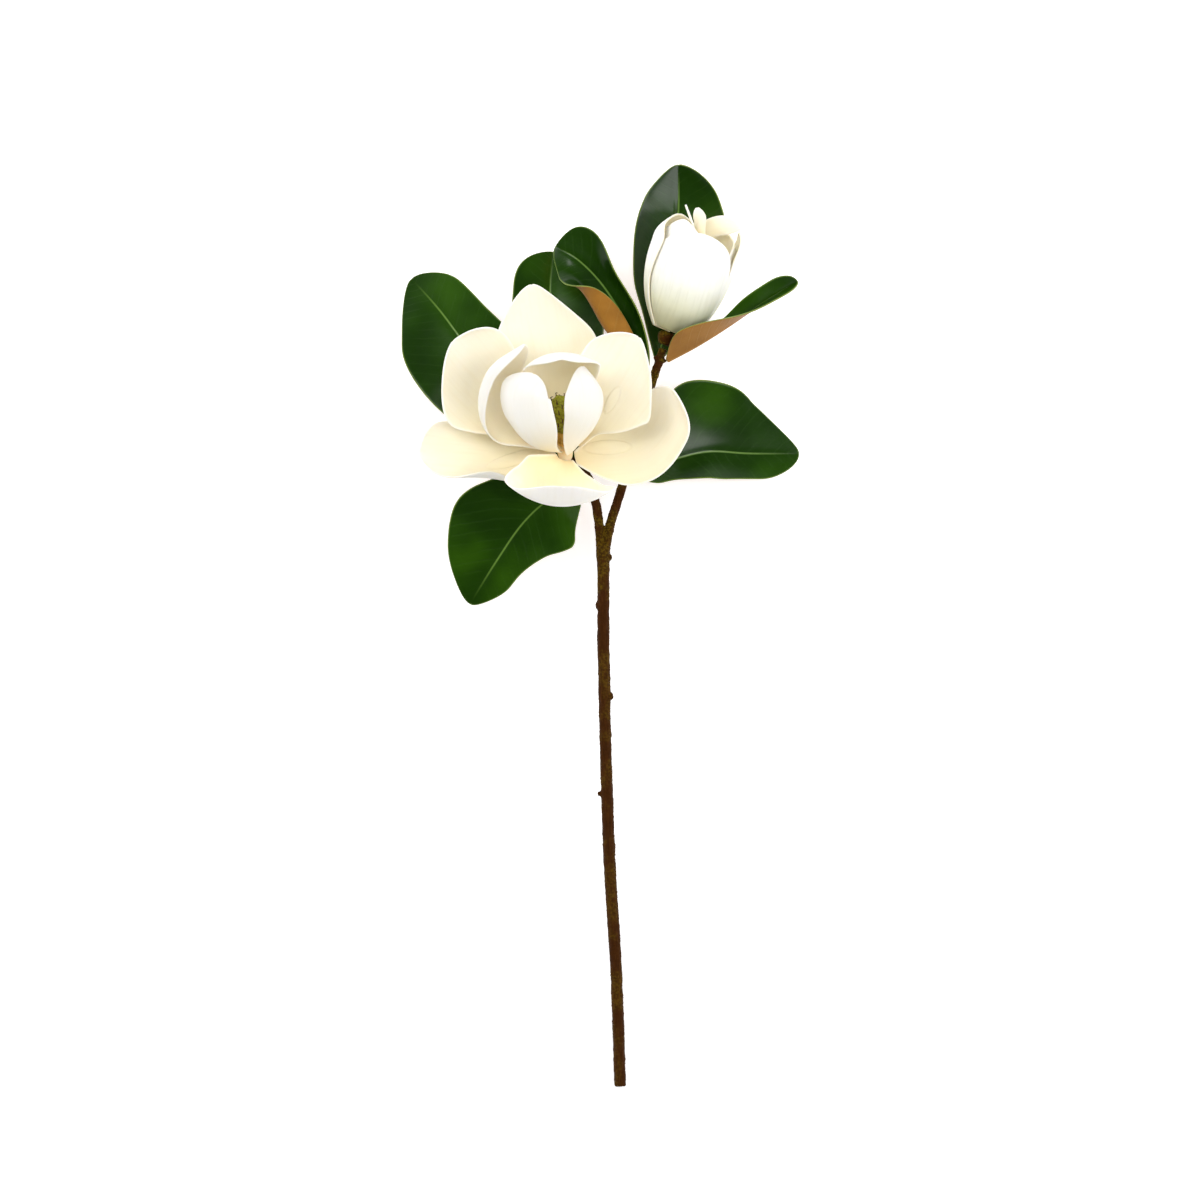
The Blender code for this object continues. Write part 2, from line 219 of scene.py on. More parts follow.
# %% Tubes extruded ring by ring
def tube_along(shape, path, radii, rings, sides, flatten=1.0):
    """Extrudes a disc along a path, into a closed tube, with its lengths in millimetres."""
    t = np.linspace(0, 1, rings)
    centres = smooth(path, t)
    sizes = smooth(radii, t)[:, 0]
    along = directions(path, t)
    right = unit(np.cross(along, (0.02, 0.03, 1)))
    up = np.cross(right, along)
    angles = np.arange(sides) * 2 * math.pi / sides
    disc = bmesh.ops.create_circle(shape, cap_ends=True, segments=sides, radius=1)["verts"]
    face = disc[0].link_faces[0]
    for ring in range(rings):
        if ring:
            made = bmesh.ops.extrude_face_region(shape, geom=[face])["geom"]
            face = next(part for part in made if isinstance(part, bmesh.types.BMFace))
        for vertex, angle in zip(face.verts, angles):
            out = math.cos(angle) * right[ring] + math.sin(angle) * flatten * up[ring]
            vertex.co = Vector((centres[ring] + out * sizes[ring]) * MM)


STEM_RADII = [4.5, 4.6, 4.7, 4.6, 4.8, 4.7, 4.9]
TWIG_RADII = [4.0, 3.6, 3.5, 3.3, 3.2]
STEM_PATH = [
    (11, 0, 4.6), (8, 86, 9), (3, 170, 13), (0, 252, 17),
    (-1, 298, 19), (-2, 346, 21), (-2, 385, 23), (-2, 417, 24)]
FLOWER_TWIG_PATH = [
    (-3, 402, 23), (-5, 430, 25), (-8, 450, 29), (-13, 468, 37), (-21, 478, 47), (-27, 482, 54)]
BUD_TWIG_PATH = [
    (-2, 400, 23), (2, 428, 25), (13, 464, 29), (25, 503, 34), (35, 541, 38), (40, 556, 39), (44, 568, 40)]

wood = bmesh.new()
tube_along(wood, STEM_PATH, STEM_RADII, 120, 24)
tube_along(wood, FLOWER_TWIG_PATH, TWIG_RADII, 40, 20)
tube_along(wood, BUD_TWIG_PATH, TWIG_RADII, 60, 20)
points = np.array([vertex.co for vertex in wood.verts])
own_middle = (points.min(axis=0) + points.max(axis=0)) / 2
stem_low, stem_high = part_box("stem")
SHIFT = np.array((stem_low + stem_high) / 2) - own_middle
print("from the cut end to the plain model's origin, in mm:", np.round(SHIFT / MM, 1))


# %% Putting a finished piece in its place
def add_piece(name, shape, paints, slot, *nodes):
    """Makes a bmesh an object that rides on the branch and stands for plain nodes."""
    bmesh.ops.translate(shape, vec=SHIFT, verts=shape.verts)
    mesh = bpy.data.meshes.new(name)
    shape.to_mesh(mesh)
    shape.free()
    for paint in paints:
        mesh.materials.append(paint)
    mesh.shade_smooth()
    piece = bpy.data.objects.new(name, mesh)
    bpy.context.scene.collection.objects.link(piece)
    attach(piece, "root")
    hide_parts(*nodes)
    return piece


def compare(piece, node):
    """Prints how far a piece's box is from its plain node's box."""
    graph = bpy.context.evaluated_depsgraph_get()
    corners = np.array([corner[:] for corner in piece.evaluated_get(graph).bound_box])
    low, high = (np.array(corner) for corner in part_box(node))
    off = max(np.abs(corners.min(axis=0) - low).max(), np.abs(corners.max(axis=0) - high).max())
    print(f"{piece.name}: {len(piece.data.polygons)} faces, box off by {off / MM:.1f} mm")


# %% [markdown]
# ## Bark
# Magnolia twigs are dark brown with olive patches where the young green wood shows through, and
# small rough lenticels all over. Three noises at different scales make the patches, the grain along
# the stem and the pimples. The grain is drawn out by squeezing the coordinates along the stem, and
# the olive gets stronger towards the young wood at the flower's end.

# %% Paint the bark
BROWNS = [(0.008, 0.002, 0.0003), (0.045, 0.014, 0.002), (0.12, 0.042, 0.007)]
OLIVES = [(0.035, 0.023, 0.001), (0.15, 0.10, 0.005)]
BARK_RELIEF = 0.5
bark = Paint("bark", Specular_IOR_Level=0.05)
patches = bark.noise(bark.where(), 55, 4)
grain = bark.noise(bark.where((1, 0.12, 1)), 900, 3)
pimples = bark.noise(bark.where(), 600, 2)
brown = bark.shades(grain * 0.6 + patches * 0.4, *BROWNS)
height_on_stem = bark.node("ShaderNodeSeparateXYZ", {}, {0: bark.where()}).outputs["Y"]
young = Channel(bark, height_on_stem).rise(-0.05, 0.2)
olive = bark.mix(pimples.rise(0.4, 0.65), *OLIVES)
bark_colour = bark.mix(patches.rise(0.46, 0.6) * (0.25 + 0.6 * young), brown, olive)
bark_paint = bark.finish(bark_colour, 0.75 - 0.25 * pimples, grain + pimples * 1.5, BARK_RELIEF)
print("bark nodes:", len(bark.tree.nodes))

# %% [markdown]
# ## The stem
# The stem and its two twigs are one grown piece. Three tubes that pass through each other are
# turned into one skin by a voxel remesh, which also rounds the crotch of the fork as wood does.
# Knots are balls and rings are short bits of tube, and the same remesh melts them in.
# Then every point moves a little along its normal, for lumps that catch the light.

# %% Knots, leaf scars and rings at the fork and under the bud
RINGS = [(417, 6.1, 1.6), (421, 5.7, 1.2), (560, 5.2, 1.5)]
RING_TAPER = 0.8
TWIGS_FROM_Y = 430
PATH_SPOTS = 400
KNOTS = [
    (-6.2, 371, 22, 2.6), (3.9, 301, 20, 2.4), (3.4, 408, 24, 2.0), (-5.4, 226, 16, 1.5),
    (8.6, 131, 12, 1.4), (23, 507, 33, 2.3), (31, 521, 36, 2.2), (39, 549, 40, 3.0),
    (32, 539, 38, 2.6), (10, 447, 28, 1.9), (-9, 447, 30, 1.9), (-3.6, 330, 24, 1.6),
    (2.4, 258, 20, 1.5), (10.4, 38, 9, 1.5), (4.2, 86, 12, 1.3)]
for x, y, z, radius in KNOTS:
    place = Matrix.Translation(Vector((x, y, z)) * MM) @ Matrix.Diagonal((0.7, 1.3, 0.9, 1))
    bmesh.ops.create_icosphere(wood, subdivisions=2, radius=radius * MM, matrix=place)
for y, radius, width in RINGS:
    path = STEM_PATH if y < TWIGS_FROM_Y else BUD_TWIG_PATH
    spots = smooth(path, np.linspace(0, 1, PATH_SPOTS))
    nearest = int(np.abs(spots[:, 1] - y).argmin())
    way = directions(path, np.array([nearest / (PATH_SPOTS - 1)]))[0]
    ends = [spots[nearest] - way * width, spots[nearest], spots[nearest] + way * width]
    tube_along(wood, ends, [radius * RING_TAPER, radius, radius * RING_TAPER], 7, 24)
print("knots and rings:", len(KNOTS), len(RINGS))

# %% Melt the tubes into one skin and roughen it
SKIN_CELL = 0.75
LUMP_SPACING, LUMP_HEIGHT, LUMP_SQUEEZE = 3.2, 0.45, 0.5
PIMPLE_SPACING, PIMPLE_HEIGHT, PIMPLE_FLOOR = 1.5, 0.7, 0.15
PIMPLE_OFFSET = Vector((7, 3, 1))
stem = add_piece("stem_bark", wood, [bark_paint], "bark", "stem")
melt = stem.modifiers.new("Melt", "REMESH")
melt.mode = "VOXEL"
melt.voxel_size = SKIN_CELL * MM
melt.use_smooth_shade = True
graph = bpy.context.evaluated_depsgraph_get()
skin = bpy.data.meshes.new_from_object(stem.evaluated_get(graph))
stem.modifiers.clear()
stem.data = skin
places = [vertex.co.copy() for vertex in skin.vertices]
normals = [vertex.normal.copy() for vertex in skin.vertices]
for vertex, start, normal in zip(skin.vertices, places, normals):
    place = start / MM
    long_place = Vector((place.x, place.y * LUMP_SQUEEZE, place.z))
    lumps = noise.noise(long_place / LUMP_SPACING) * LUMP_HEIGHT
    rough = noise.noise(place / PIMPLE_SPACING + PIMPLE_OFFSET)
    pimple = max(0.0, rough - PIMPLE_FLOOR) * PIMPLE_HEIGHT
    vertex.co = start + normal * (lumps + pimple) * MM
skin.shade_smooth()
compare(stem, "stem")

# %% [markdown]
# ## Petals and leaves are blades
# A petal and a leaf are both a thin blade that grows from a narrow base. A flat grid is bent into
# its place: a row of the grid is one station of the spine, and a column is a share of the width.
# Solidify then gives the blade its wall, with one paint for its face, one for its back and one for
# its rim, and one level of Subdivision Surface rounds the rim as a knife can't.
# Each point also remembers how far it is along the blade, across it and in from its edge, so that
# veins and rims can be painted at their real width.
# A blade's lists of half widths and of curls, in degrees, run from its base to its tip. Fold lifts
# both halves like an open book, bend says how far out the curl sits, and tip is the share of the
# length that the rounded end takes. A pad is a low oval lens that stands on a petal's face.

# %% The shape of a blade
TIP_CROWDING = 1.5
ARC_STEPS = 12
SMALLEST_HALF_WIDTH = 0.5
USUAL_TIP = 0.35
EVEN_BEND = (0, 0.5, 1)
CREASE_WIDTH = 2.2


def blade_points(blade, u, s):
    """Points of a blade, and their distance from its middle line, in millimetres.

    u runs from its base (0) to its tip (1), and s from its left edge (-1) to its right (1).
    """
    t = 1 - (1 - u) ** TIP_CROWDING
    along = directions(blade["spine"], t)
    face = smooth(blade["face"], t)
    face = unit(face - np.sum(face * along, axis=1, keepdims=True) * along)
    side = np.cross(along, face)
    half, curl = (
        np.where(s < 0, smooth(blade[left], t)[:, 0], smooth(blade[right], t)[:, 0])
        for left, right in (("left", "right"), ("curl_left", "curl_right"))
    )
    tip = blade.get("tip", USUAL_TIP)
    closing = np.clip((t - 1 + tip) / tip, 0, 1)
    half = np.maximum(half * np.sqrt(1 - closing**2), SMALLEST_HALF_WIDTH)
    reach = np.abs(s)
    steps = (np.arange(ARC_STEPS)[:, None] + 0.5) / ARC_STEPS
    share = smooth(blade.get("bend", EVEN_BEND), (reach * steps).ravel())[:, 0].reshape(ARC_STEPS, -1)
    turn = np.radians(blade.get("fold", 0) + curl * share)
    out = np.sign(s) * half * reach * np.cos(turn).mean(axis=0)
    lift = half * reach * np.sin(turn).mean(axis=0)
    groove = np.exp(-((half * reach / CREASE_WIDTH) ** 2)) * np.minimum(1, (1 - t) * 6)
    lift = lift - blade.get("crease", 0) * groove
    return smooth(blade["spine"], t) + out[:, None] * side + lift[:, None] * face, half * s, t


# %% A grid bent into a sheet with a wall
PAD_RIM = 3.0
PAD_SLOPE = 2
AT_THE_EDGE = 0.999


def sheet(name, shape, blade, cells, thickness, paints, slot):
    """Bends a grid by a shape, gives it a wall and replaces the plain node of that name."""
    grid = bmesh.new()
    across_cells, along_cells = cells
    bmesh.ops.create_grid(grid, x_segments=across_cells, y_segments=along_cells, size=1)
    flat = np.array([vertex.co for vertex in grid.verts])
    places, across, share = shape(blade, (flat[:, 1] + 1) / 2, flat[:, 0])
    edge = places[(np.abs(flat[:, 0]) > AT_THE_EDGE) | (flat[:, 1] > AT_THE_EDGE)]
    inward = np.linalg.norm(places[:, None] - edge[None], axis=2).min(axis=1)
    spine = smooth(blade["spine"], np.linspace(0, 1, 40))
    length = np.linalg.norm(np.diff(spine, axis=0), axis=1).sum()
    stored = {"share": share, "across_mm": across, "along_mm": share * length, "margin_mm": inward}
    for pad in blade.get("pads", ()):
        places, stored["pad_mm"] = raise_pad(places, **pad)
    layers = {key: grid.verts.layers.float.new(key) for key in stored}
    for index, vertex in enumerate(grid.verts):
        vertex.co = places[index] * MM
        for key, layer in layers.items():
            vertex[layer] = stored[key][index]
    piece = add_piece(name + "_skin", grid, paints, slot, name)
    wall = piece.modifiers.new("Wall", "SOLIDIFY")
    wall.thickness = thickness * MM
    wall.offset = 0
    wall.material_offset = 1
    wall.material_offset_rim = 2
    rounding = piece.modifiers.new("Rounding", "SUBSURF")
    rounding.levels = 1
    rounding.render_levels = 1
    compare(piece, name)


def raise_pad(places, middle, half_length, half_width, angle, height):
    """Raises a lens on a petal. It also gives each point's depth inside the outline, plus PAD_RIM."""
    away = places[:, :2] - middle
    cos, sin = math.cos(math.radians(angle)), math.sin(math.radians(angle))
    lengthways = (away[:, 0] * cos + away[:, 1] * sin) / half_length
    sideways = (away[:, 1] * cos - away[:, 0] * sin) / half_width
    inside = (1 - np.hypot(lengthways, sideways)) * half_width
    lift = height * np.clip(inside / PAD_SLOPE, 0, 1)
    return places + lift[:, None] * np.array((0, 0, 1)), np.maximum(inside + PAD_RIM, 0)


# %% [markdown]
# ## The finish of a petal
# A magnolia petal is thick and waxy, ivory where it opens and a warmer yellow towards its base,
# with a back that is cooler, and painted greyer and darker as painted shade for backs that turn
# away from the lamps. Very fine veins run along it. They are noise that is stretched along the
# blade, and they barely show except where light grazes them. A little light passes through the
# petal, which Subsurface gives it. A paler band along each margin is a painted highlight where
# the rim catches the light. Where a petal has a pad, the pad's outline is drawn a touch darker,
# as painted shade at the pad's edge.


# %% Paint the petals
def petal_paint(name, colours, rim, vein=0.1, mottle=0.05):
    paint = Paint(
        name, Specular_IOR_Level=0.3, Subsurface_Weight=0.2, Subsurface_Scale=0.005,
        Subsurface_Radius=(1.0, 0.8, 0.5))
    share, across, along = (paint.read(key) for key in ("share", "across_mm", "along_mm"))
    streaks = paint.noise(paint.vector(across * 0.35, along * 0.02), 1.0, 3)
    clouds = paint.noise(paint.where(), 38, 3)
    base = paint.shades(share + (clouds - 0.5) * mottle * 4, *colours)
    # The band within a few millimetres of the margin is painted paler: a painted highlight where the rim
    # catches the light.
    edge = paint.read("margin_mm").rise(3.5, 0.0)
    lit = paint.mix(edge * 0.55, base, rim)
    deeper = tuple(channel * 0.86 for channel in colours[0])
    colour = paint.mix(streaks.rise(0.45, 0.75) * vein, lit, deeper)
    wrinkles = paint.noise(paint.where(), 240, 3)
    pad = paint.read("pad_mm")
    # A thin band round each pad's outline is painted darker: painted shade at the pad's edge.
    outline = pad.rise(PAD_RIM - 0.5, PAD_RIM) * pad.rise(PAD_RIM + 0.7, PAD_RIM + 0.1)
    lens = pad.rise(PAD_RIM - 0.2, PAD_RIM + 0.5)
    shaded = paint.mix(outline * 0.12, colour, tuple(channel * 0.72 for channel in colours[0]))
    return paint.finish(shaded, 0.42 + 0.16 * clouds, streaks + wrinkles * 0.4 + lens * 3.5, 0.12)


ivory_face = petal_paint(
    "petal_face", [(0.91, 0.74, 0.45), (0.94, 0.84, 0.60), (0.95, 0.87, 0.68), (0.95, 0.88, 0.73)],
    (0.97, 0.92, 0.82))
# The back is cooler than the face and painted greyer and darker: painted shade for backs that turn away from
# the lamps.
shaded_ivory_back = petal_paint(
    "petal_back", [(0.82, 0.74, 0.58), (0.82, 0.80, 0.73), (0.80, 0.78, 0.75)], (0.88, 0.85, 0.80))
ivory_rim = petal_paint("petal_rim", [(0.88, 0.78, 0.55), (0.95, 0.90, 0.78)], (0.97, 0.93, 0.83))
PETAL_PAINTS = [ivory_face, shaded_ivory_back, ivory_rim]
print("petal paints:", [paint.name for paint in PETAL_PAINTS])

# %% [markdown]
# ## The open flower
# Ten petals stand in whorls round the cone: the outer ones lie nearly flat, and the inner ones cup
# it. Their spines start on the receptacle, below the cone, and their lists say how each one opens.
# The first entry of a face is the way the petal's inside looks at its base.

# %% Ten petals
FLOWER_PETALS = {
    "petal_back": dict(
        spine=[(-32, 491, 52), (-39, 523, 42), (-46, 557, 38), (-52, 586, 41), (-57, 617, 49)],
        face=[(0, -0.3, 1), (0, 0, 1), (0, -0.2, 1)],
        left=[6, 22, 34, 38, 33, 23], right=[6, 26, 41, 44, 34, 19],
        curl_left=[15, 20, 30], curl_right=[20, 30, 30]),
    "petal_left": dict(
        spine=[(-38, 492, 56), (-59, 515, 52), (-82, 536, 53), (-100, 554, 61), (-117, 573, 74)],
        face=[(0.3, -0.3, 1), (0.3, -0.2, 1), (0.5, -0.3, 1)],
        left=[5, 16, 38, 52, 48, 36], right=[6, 16, 24, 30, 38, 50],
        curl_left=[30, 45, 40], curl_right=[20, 35, 35]),
    "petal_inner_left": dict(
        spine=[(-38, 493, 60), (-62, 505, 60), (-83, 522, 66), (-84, 548, 78), (-62, 570, 90)],
        face=[(0.4, -0.2, 1), (0.6, -0.2, 0.8), (0.8, -0.4, 0.5)],
        left=[5, 12, 26, 32, 27, 18], right=[5, 14, 24, 27, 23, 16],
        curl_left=[20, 40, 80, 125, 140, 130], curl_right=[20, 20, 20], tip=0.18, bend=[0, 0.1, 0.4, 1]),
    "petal_right": dict(
        spine=[(-24, 494, 57), (-18, 513, 61), (-3, 534, 63), (10, 551, 68), (25, 576, 76)],
        face=[(-0.3, -0.3, 1), (-0.3, -0.3, 1), (-0.4, -0.4, 1)],
        left=[5, 19, 28, 31, 32, 27], right=[6, 18, 36, 45, 31, 14],
        curl_left=[20, 30, 30], curl_right=[20, 30, 40], tip=0.2,
        pads=[dict(middle=(5, 528), half_length=12, half_width=4, angle=62, height=1.2)]),
    "petal_lower_right": dict(
        spine=[(-24, 484, 60), (0, 486, 52), (27, 491, 50), (45, 512, 58), (49, 538, 72)],
        face=[(-0.1, 0.4, 1), (-0.2, 0.3, 1), (-0.6, 0.1, 1)],
        left=[5, 20, 34, 34, 28, 22], right=[6, 26, 38, 40, 36, 27],
        curl_left=[20, 30, 30], curl_right=[20, 50, 60, 40],
        pads=[dict(middle=(1, 492), half_length=19, half_width=5.5, angle=2, height=1.2)], tip=0.22),
    "petal_lower_left": dict(
        spine=[(-38, 482, 57), (-68, 478, 48), (-93, 480, 52), (-119, 483, 63), (-143, 486, 78)],
        face=[(0.1, 0.4, 1), (0.2, 0.4, 1), (0.6, 0.3, 1)],
        left=[6, 24, 32, 34, 34, 36], right=[6, 22, 33, 31, 31, 40],
        curl_left=[30, 110, 60], curl_right=[20, 30, 30],
        pads=[dict(middle=(-70, 483), half_length=23, half_width=5, angle=16, height=1.2)], tip=0.3),
    "petal_front": dict(
        spine=[(-31, 482, 67), (-34, 464, 84), (-34, 449, 105), (-33, 448, 126), (-32, 461, 142)],
        face=[(0, 0.7, 0.7), (0, 1, 0.2), (0, 0.9, -0.5)],
        left=[6, 24, 38, 44, 28], right=[10, 42, 50, 48, 30],
        curl_left=[30, 45, 20], curl_right=[90, 95, 50, 20]),
    "petal_hood": dict(
        spine=[(-30, 499, 61), (-32, 524, 66), (-34, 549, 78), (-34, 563, 98), (-34, 558, 116)],
        face=[(0, -0.3, 1), (0, -0.6, 0.8), (0, -1, 0)],
        left=[6, 18, 26, 32, 32, 24], right=[6, 18, 26, 31, 31, 24],
        curl_left=[20, 50, 40], curl_right=[20, 35, 30], tip=0.3),
    "petal_inner_front_left": dict(
        spine=[(-37, 489, 69), (-52, 492, 90), (-61, 508, 106), (-64, 531, 112), (-55, 547, 108)],
        face=[(0.6, 0.3, -0.6), (0.5, 0.1, -0.8), (0.3, -0.3, -0.8)],
        left=[5, 15, 23, 24, 22, 20], right=[5, 13, 21, 25, 26, 26],
        curl_left=[20, 45, 40], curl_right=[20, 45, 40], tip=0.2),
    "petal_inner_front_right": dict(
        spine=[(-26, 489, 69), (-21, 495, 90), (-12, 514, 104), (-12, 535, 107), (-18, 553, 101)],
        face=[(-0.6, 0.3, -0.6), (-0.6, 0.1, -0.8), (-0.5, -0.4, -0.7)],
        left=[5, 7, 12, 17, 16, 11], right=[5, 11, 19, 22, 20, 15],
        curl_left=[20, 45, 40], curl_right=[20, 45, 40]),
}
PETAL_CELLS = (30, 38)
PETAL_THICKNESS = 1.5
for name, petal in FLOWER_PETALS.items():
    sheet(name, blade_points, petal, PETAL_CELLS, PETAL_THICKNESS, PETAL_PAINTS, "petal_ivory")

# %% [markdown]
# ## The heart of the flower
# At the flower's heart a green cone of seed cases stands on a short stub, ringed by yellow stamens.
# Each seed case ends in a small dark curl. On the real plant both are set in spirals, and so are
# they here: each one is turned on from the last by the golden angle, which never lines them up.

# %% Cones and stubs are turned on the flower's axis
FLOWER_BASE = (-31, 486, 59)
FLOWER_AXIS = (-0.08, 0.76, 0.64)
RECEPTACLE_PROFILE = [(-4, 0), (-4, 3), (-2, 5), (4, 6), (10, 5), (12, 3), (12, 0)]
CONE_PROFILE = [(26.4, 0), (26.4, 6), (34, 8.5), (42, 9), (50, 7.5), (56, 4), (58, 0)]
PROFILE_STEPS = 5
GOLDEN_ANGLE = math.pi * (3 - math.sqrt(5))
UP = Vector((0, 0, 1))


def turn_on_axis(base, axis):
    """The matrix that stands a shape made round +Z on a base, along an axis, in millimetres."""
    turn = Vector(axis).to_track_quat("Z", "Y").to_matrix().to_4x4()
    return Matrix.Translation(Vector(base) * MM) @ turn


def spin_profile(shape, profile, sides):
    """Spins a profile of heights and radii round +Z, with smooth steps between."""
    rows = smooth(profile, np.linspace(0, 1, (len(profile) - 1) * PROFILE_STEPS + 1))
    rows[[0, -1], 1] = 0
    corners = [shape.verts.new((max(radius, 0) * MM, 0, height * MM)) for height, radius in rows]
    edges = [shape.edges.new(pair) for pair in zip(corners, corners[1:])]
    bmesh.ops.spin(
        shape, geom=corners + edges, axis=(0, 0, 1), cent=(0, 0, 0), angle=2 * math.pi,
        steps=sides, use_merge=True)
    bmesh.ops.remove_doubles(shape, verts=shape.verts, dist=0.01 * MM)
    bmesh.ops.recalc_face_normals(shape, faces=shape.faces)


def add_turned(name, profile, sides, base, axis, paint, slot, node):
    """Spins a profile, stands it on its base and dresses a plain node with it."""
    shape = bmesh.new()
    spin_profile(shape, profile, sides)
    bmesh.ops.transform(shape, matrix=turn_on_axis(base, axis), verts=shape.verts)
    compare(add_piece(name, shape, [paint], slot, node), node)


def spiral(count, low, high):
    """Heights from low to high, each with its direction out from the axis, as on a seed head."""
    turns = [(low + (high - low) * (k + 0.5) / count, k * GOLDEN_ANGLE) for k in range(count)]
    return [(height, Vector((math.cos(angle), math.sin(angle), 0))) for height, angle in turns]


stub_cream = Paint("stub_cream", Subsurface_Weight=0.2, Subsurface_Scale=0.003)
shade = stub_cream.noise(stub_cream.where(), 90, 3)
cream = stub_cream.mix(shade, (0.62, 0.40, 0.16), (0.90, 0.76, 0.48))
stub_paint = stub_cream.finish(cream, 0.5, shade, 0.1)
add_turned(
    "flower_stub", RECEPTACLE_PROFILE, 24, FLOWER_BASE, FLOWER_AXIS, stub_paint,
    "petal_ivory", "flower_receptacle")

# %% Paint the cone, its curls and the stamens
cone_green = Paint("cone_green", Specular_IOR_Level=0.4)
cells = cone_green.node("ShaderNodeTexVoronoi", {}, {"Vector": cone_green.where(), "Scale": 420.0})
cell_depth = Channel(cone_green, cells.outputs["Distance"])
# The cells are painted darker towards their edges, where the relief sinks: painted shade in the grooves
# between the seed cases.
green = cone_green.shades(cell_depth, (0.42, 0.44, 0.045), (0.30, 0.31, 0.02), (0.12, 0.11, 0.01))
cone_paint = cone_green.finish(green, 0.6, 1 - cell_depth, 0.6)

curl_brown = Paint("curl_brown")
shade = curl_brown.noise(curl_brown.where(), 300, 2)
dark_brown = curl_brown.mix(shade, (0.03, 0.012, 0.004), (0.14, 0.05, 0.015))
curl_paint = curl_brown.finish(dark_brown, 0.6, shade, 0.2)

stamen_yellow = Paint("stamen_yellow")
shade = stamen_yellow.noise(stamen_yellow.where(), 220, 3)
yellow = stamen_yellow.shades(shade, (0.55, 0.25, 0.03), (0.87, 0.55, 0.13), (0.93, 0.72, 0.32))
stamen_paint = stamen_yellow.finish(yellow, 0.6, shade, 0.3)
print("seed cone paints:", cone_paint.name, curl_paint.name, stamen_paint.name)

# %% A cone of seed cases, each with its curl
CONE_FOOT, CONE_TOP = 29, 55
SEED_CASES = 46
SEED_RADIUS, SEED_SINK = 1.5, 0.6
CURL_RADII = [0.55, 0.5, 0.35, 0.15]
cone = bmesh.new()
spin_profile(cone, CONE_PROFILE, 32)
heights, radii = zip(*CONE_PROFILE)
curls = []
for height, out in spiral(SEED_CASES, CONE_FOOT, CONE_TOP):
    radius = float(np.interp(height, heights[1:], radii[1:]))
    seat = out * (radius - SEED_SINK) + UP * height
    swell = Matrix.Translation(seat * MM) @ Matrix.Diagonal((1.1, 1.1, 1.5, 1))
    bmesh.ops.create_icosphere(cone, subdivisions=1, radius=SEED_RADIUS * MM, matrix=swell)
    curls.append((seat, out))
green_faces = len(cone.faces)
for seat, out in curls:
    line = [
        seat + out * 1.2, seat + out * 2.2 + UP * 1.6, seat + out * 1.6 + UP * 3.2,
        seat + out * 0.4 + UP * 3.4 + out.cross(UP)]
    tube_along(cone, [point[:] for point in line], CURL_RADII, 6, 6)
cone.faces.ensure_lookup_table()
for face in cone.faces[green_faces:]:
    face.material_index = 1
bmesh.ops.transform(cone, matrix=turn_on_axis(FLOWER_BASE, FLOWER_AXIS), verts=cone.verts)
compare(add_piece("seed_cone_curls", cone, [cone_paint, curl_paint], "seed_cone", "seed_cone"), "seed_cone")

# %% Stamens in a ring
STAMENS = 64
STAMEN_FOOT, STAMEN_TOP = 13, 20
STAMEN_RADII = [0.7, 0.8, 0.75, 0.3]
RING_PROFILE = [(12.4, 0), (12.4, 5), (18, 6), (25, 5.5), (25, 0)]
stamens = bmesh.new()
spin_profile(stamens, RING_PROFILE, 24)
for height, out in spiral(STAMENS, STAMEN_FOOT, STAMEN_TOP):
    foot = out * 4.6 + UP * height
    line = [
        foot, foot + out * 2.2 + UP * 1.5, foot + out * 2.9 + UP * 4,
        foot + out * 2.2 + UP * 6.2]
    tube_along(stamens, [point[:] for point in line], STAMEN_RADII, 5, 6, flatten=0.6)
bmesh.ops.transform(stamens, matrix=turn_on_axis(FLOWER_BASE, FLOWER_AXIS), verts=stamens.verts)
compare(add_piece("stamens", stamens, [stamen_paint], "stamen", "stamen_ring"), "stamen_ring")

# %% [markdown]
# ## The bud
# A bud is petals wrapped round each other, so they all follow one turned shape: a line up the bud's
# middle and a list of radii. A petal is a patch of that shape, from one angle to another, and the
# layers lie a little more than a petal's thickness apart. Flare bends one petal's tip outwards.
# A plain turned middle stands for the petals that are wound up inside, where nobody can see them.
# Towards its foot a bud is grey-green, in soft streaks.

# %% The shape of a wrapped petal
BUD_BASE = (46, 575, 40)
BUD_BASE_AXIS = (0.3, 0.95, 0)
BUD_RECEPTACLE_PROFILE = [(-4, 0), (-4, 4), (-1, 6), (3, 7), (6, 5), (6, 0)]
BUD_HEART_BASE = (52, 590, 40)
BUD_HEART_PROFILE = [(0, 0), (0, 8), (10, 16), (25, 20), (40, 19), (52, 12), (58, 0)]
BUD_AXIS = [(49, 579, 40), (58, 602, 40), (65, 626, 41), (71, 649, 43), (75, 673, 45)]
BUD_RADII = [10, 23, 29.5, 32.5, 32.5, 29.5, 13]
BUD_TIP = 0.25
FLUTES, FLUTE_DEPTH = 9, 0.35
NARROWEST_SPREAD = 2


def bud_points(petal, u, s):
    """Points of a petal wrapped round the bud: u runs up the bud, s across the petal."""
    t = 1 - (1 - u) ** TIP_CROWDING
    start, end = petal["ends"]
    height = start + (end - start) * t
    along = directions(BUD_AXIS, height)
    right = unit(np.cross(along, (0, 0, 1)))
    toward = np.cross(right, along)
    closing = np.clip((t - 1 + BUD_TIP) / BUD_TIP, 0, 1)
    spread = np.maximum(smooth(petal["spread"], t)[:, 0] * np.sqrt(1 - closing**2), NARROWEST_SPREAD)
    angle = np.radians(petal["middle"] - s * spread)
    radius = smooth(BUD_RADII, height)[:, 0] + petal["layer"] + petal.get("flare", 0) * t**4
    flutes = FLUTE_DEPTH * np.sin(angle * FLUTES) * np.minimum(1, (1 - t) * 3)
    outward = np.cos(angle)[:, None] * right + np.sin(angle)[:, None] * toward
    places = smooth(BUD_AXIS, height) + (radius + flutes)[:, None] * outward
    return places, radius * np.radians(s * spread), t


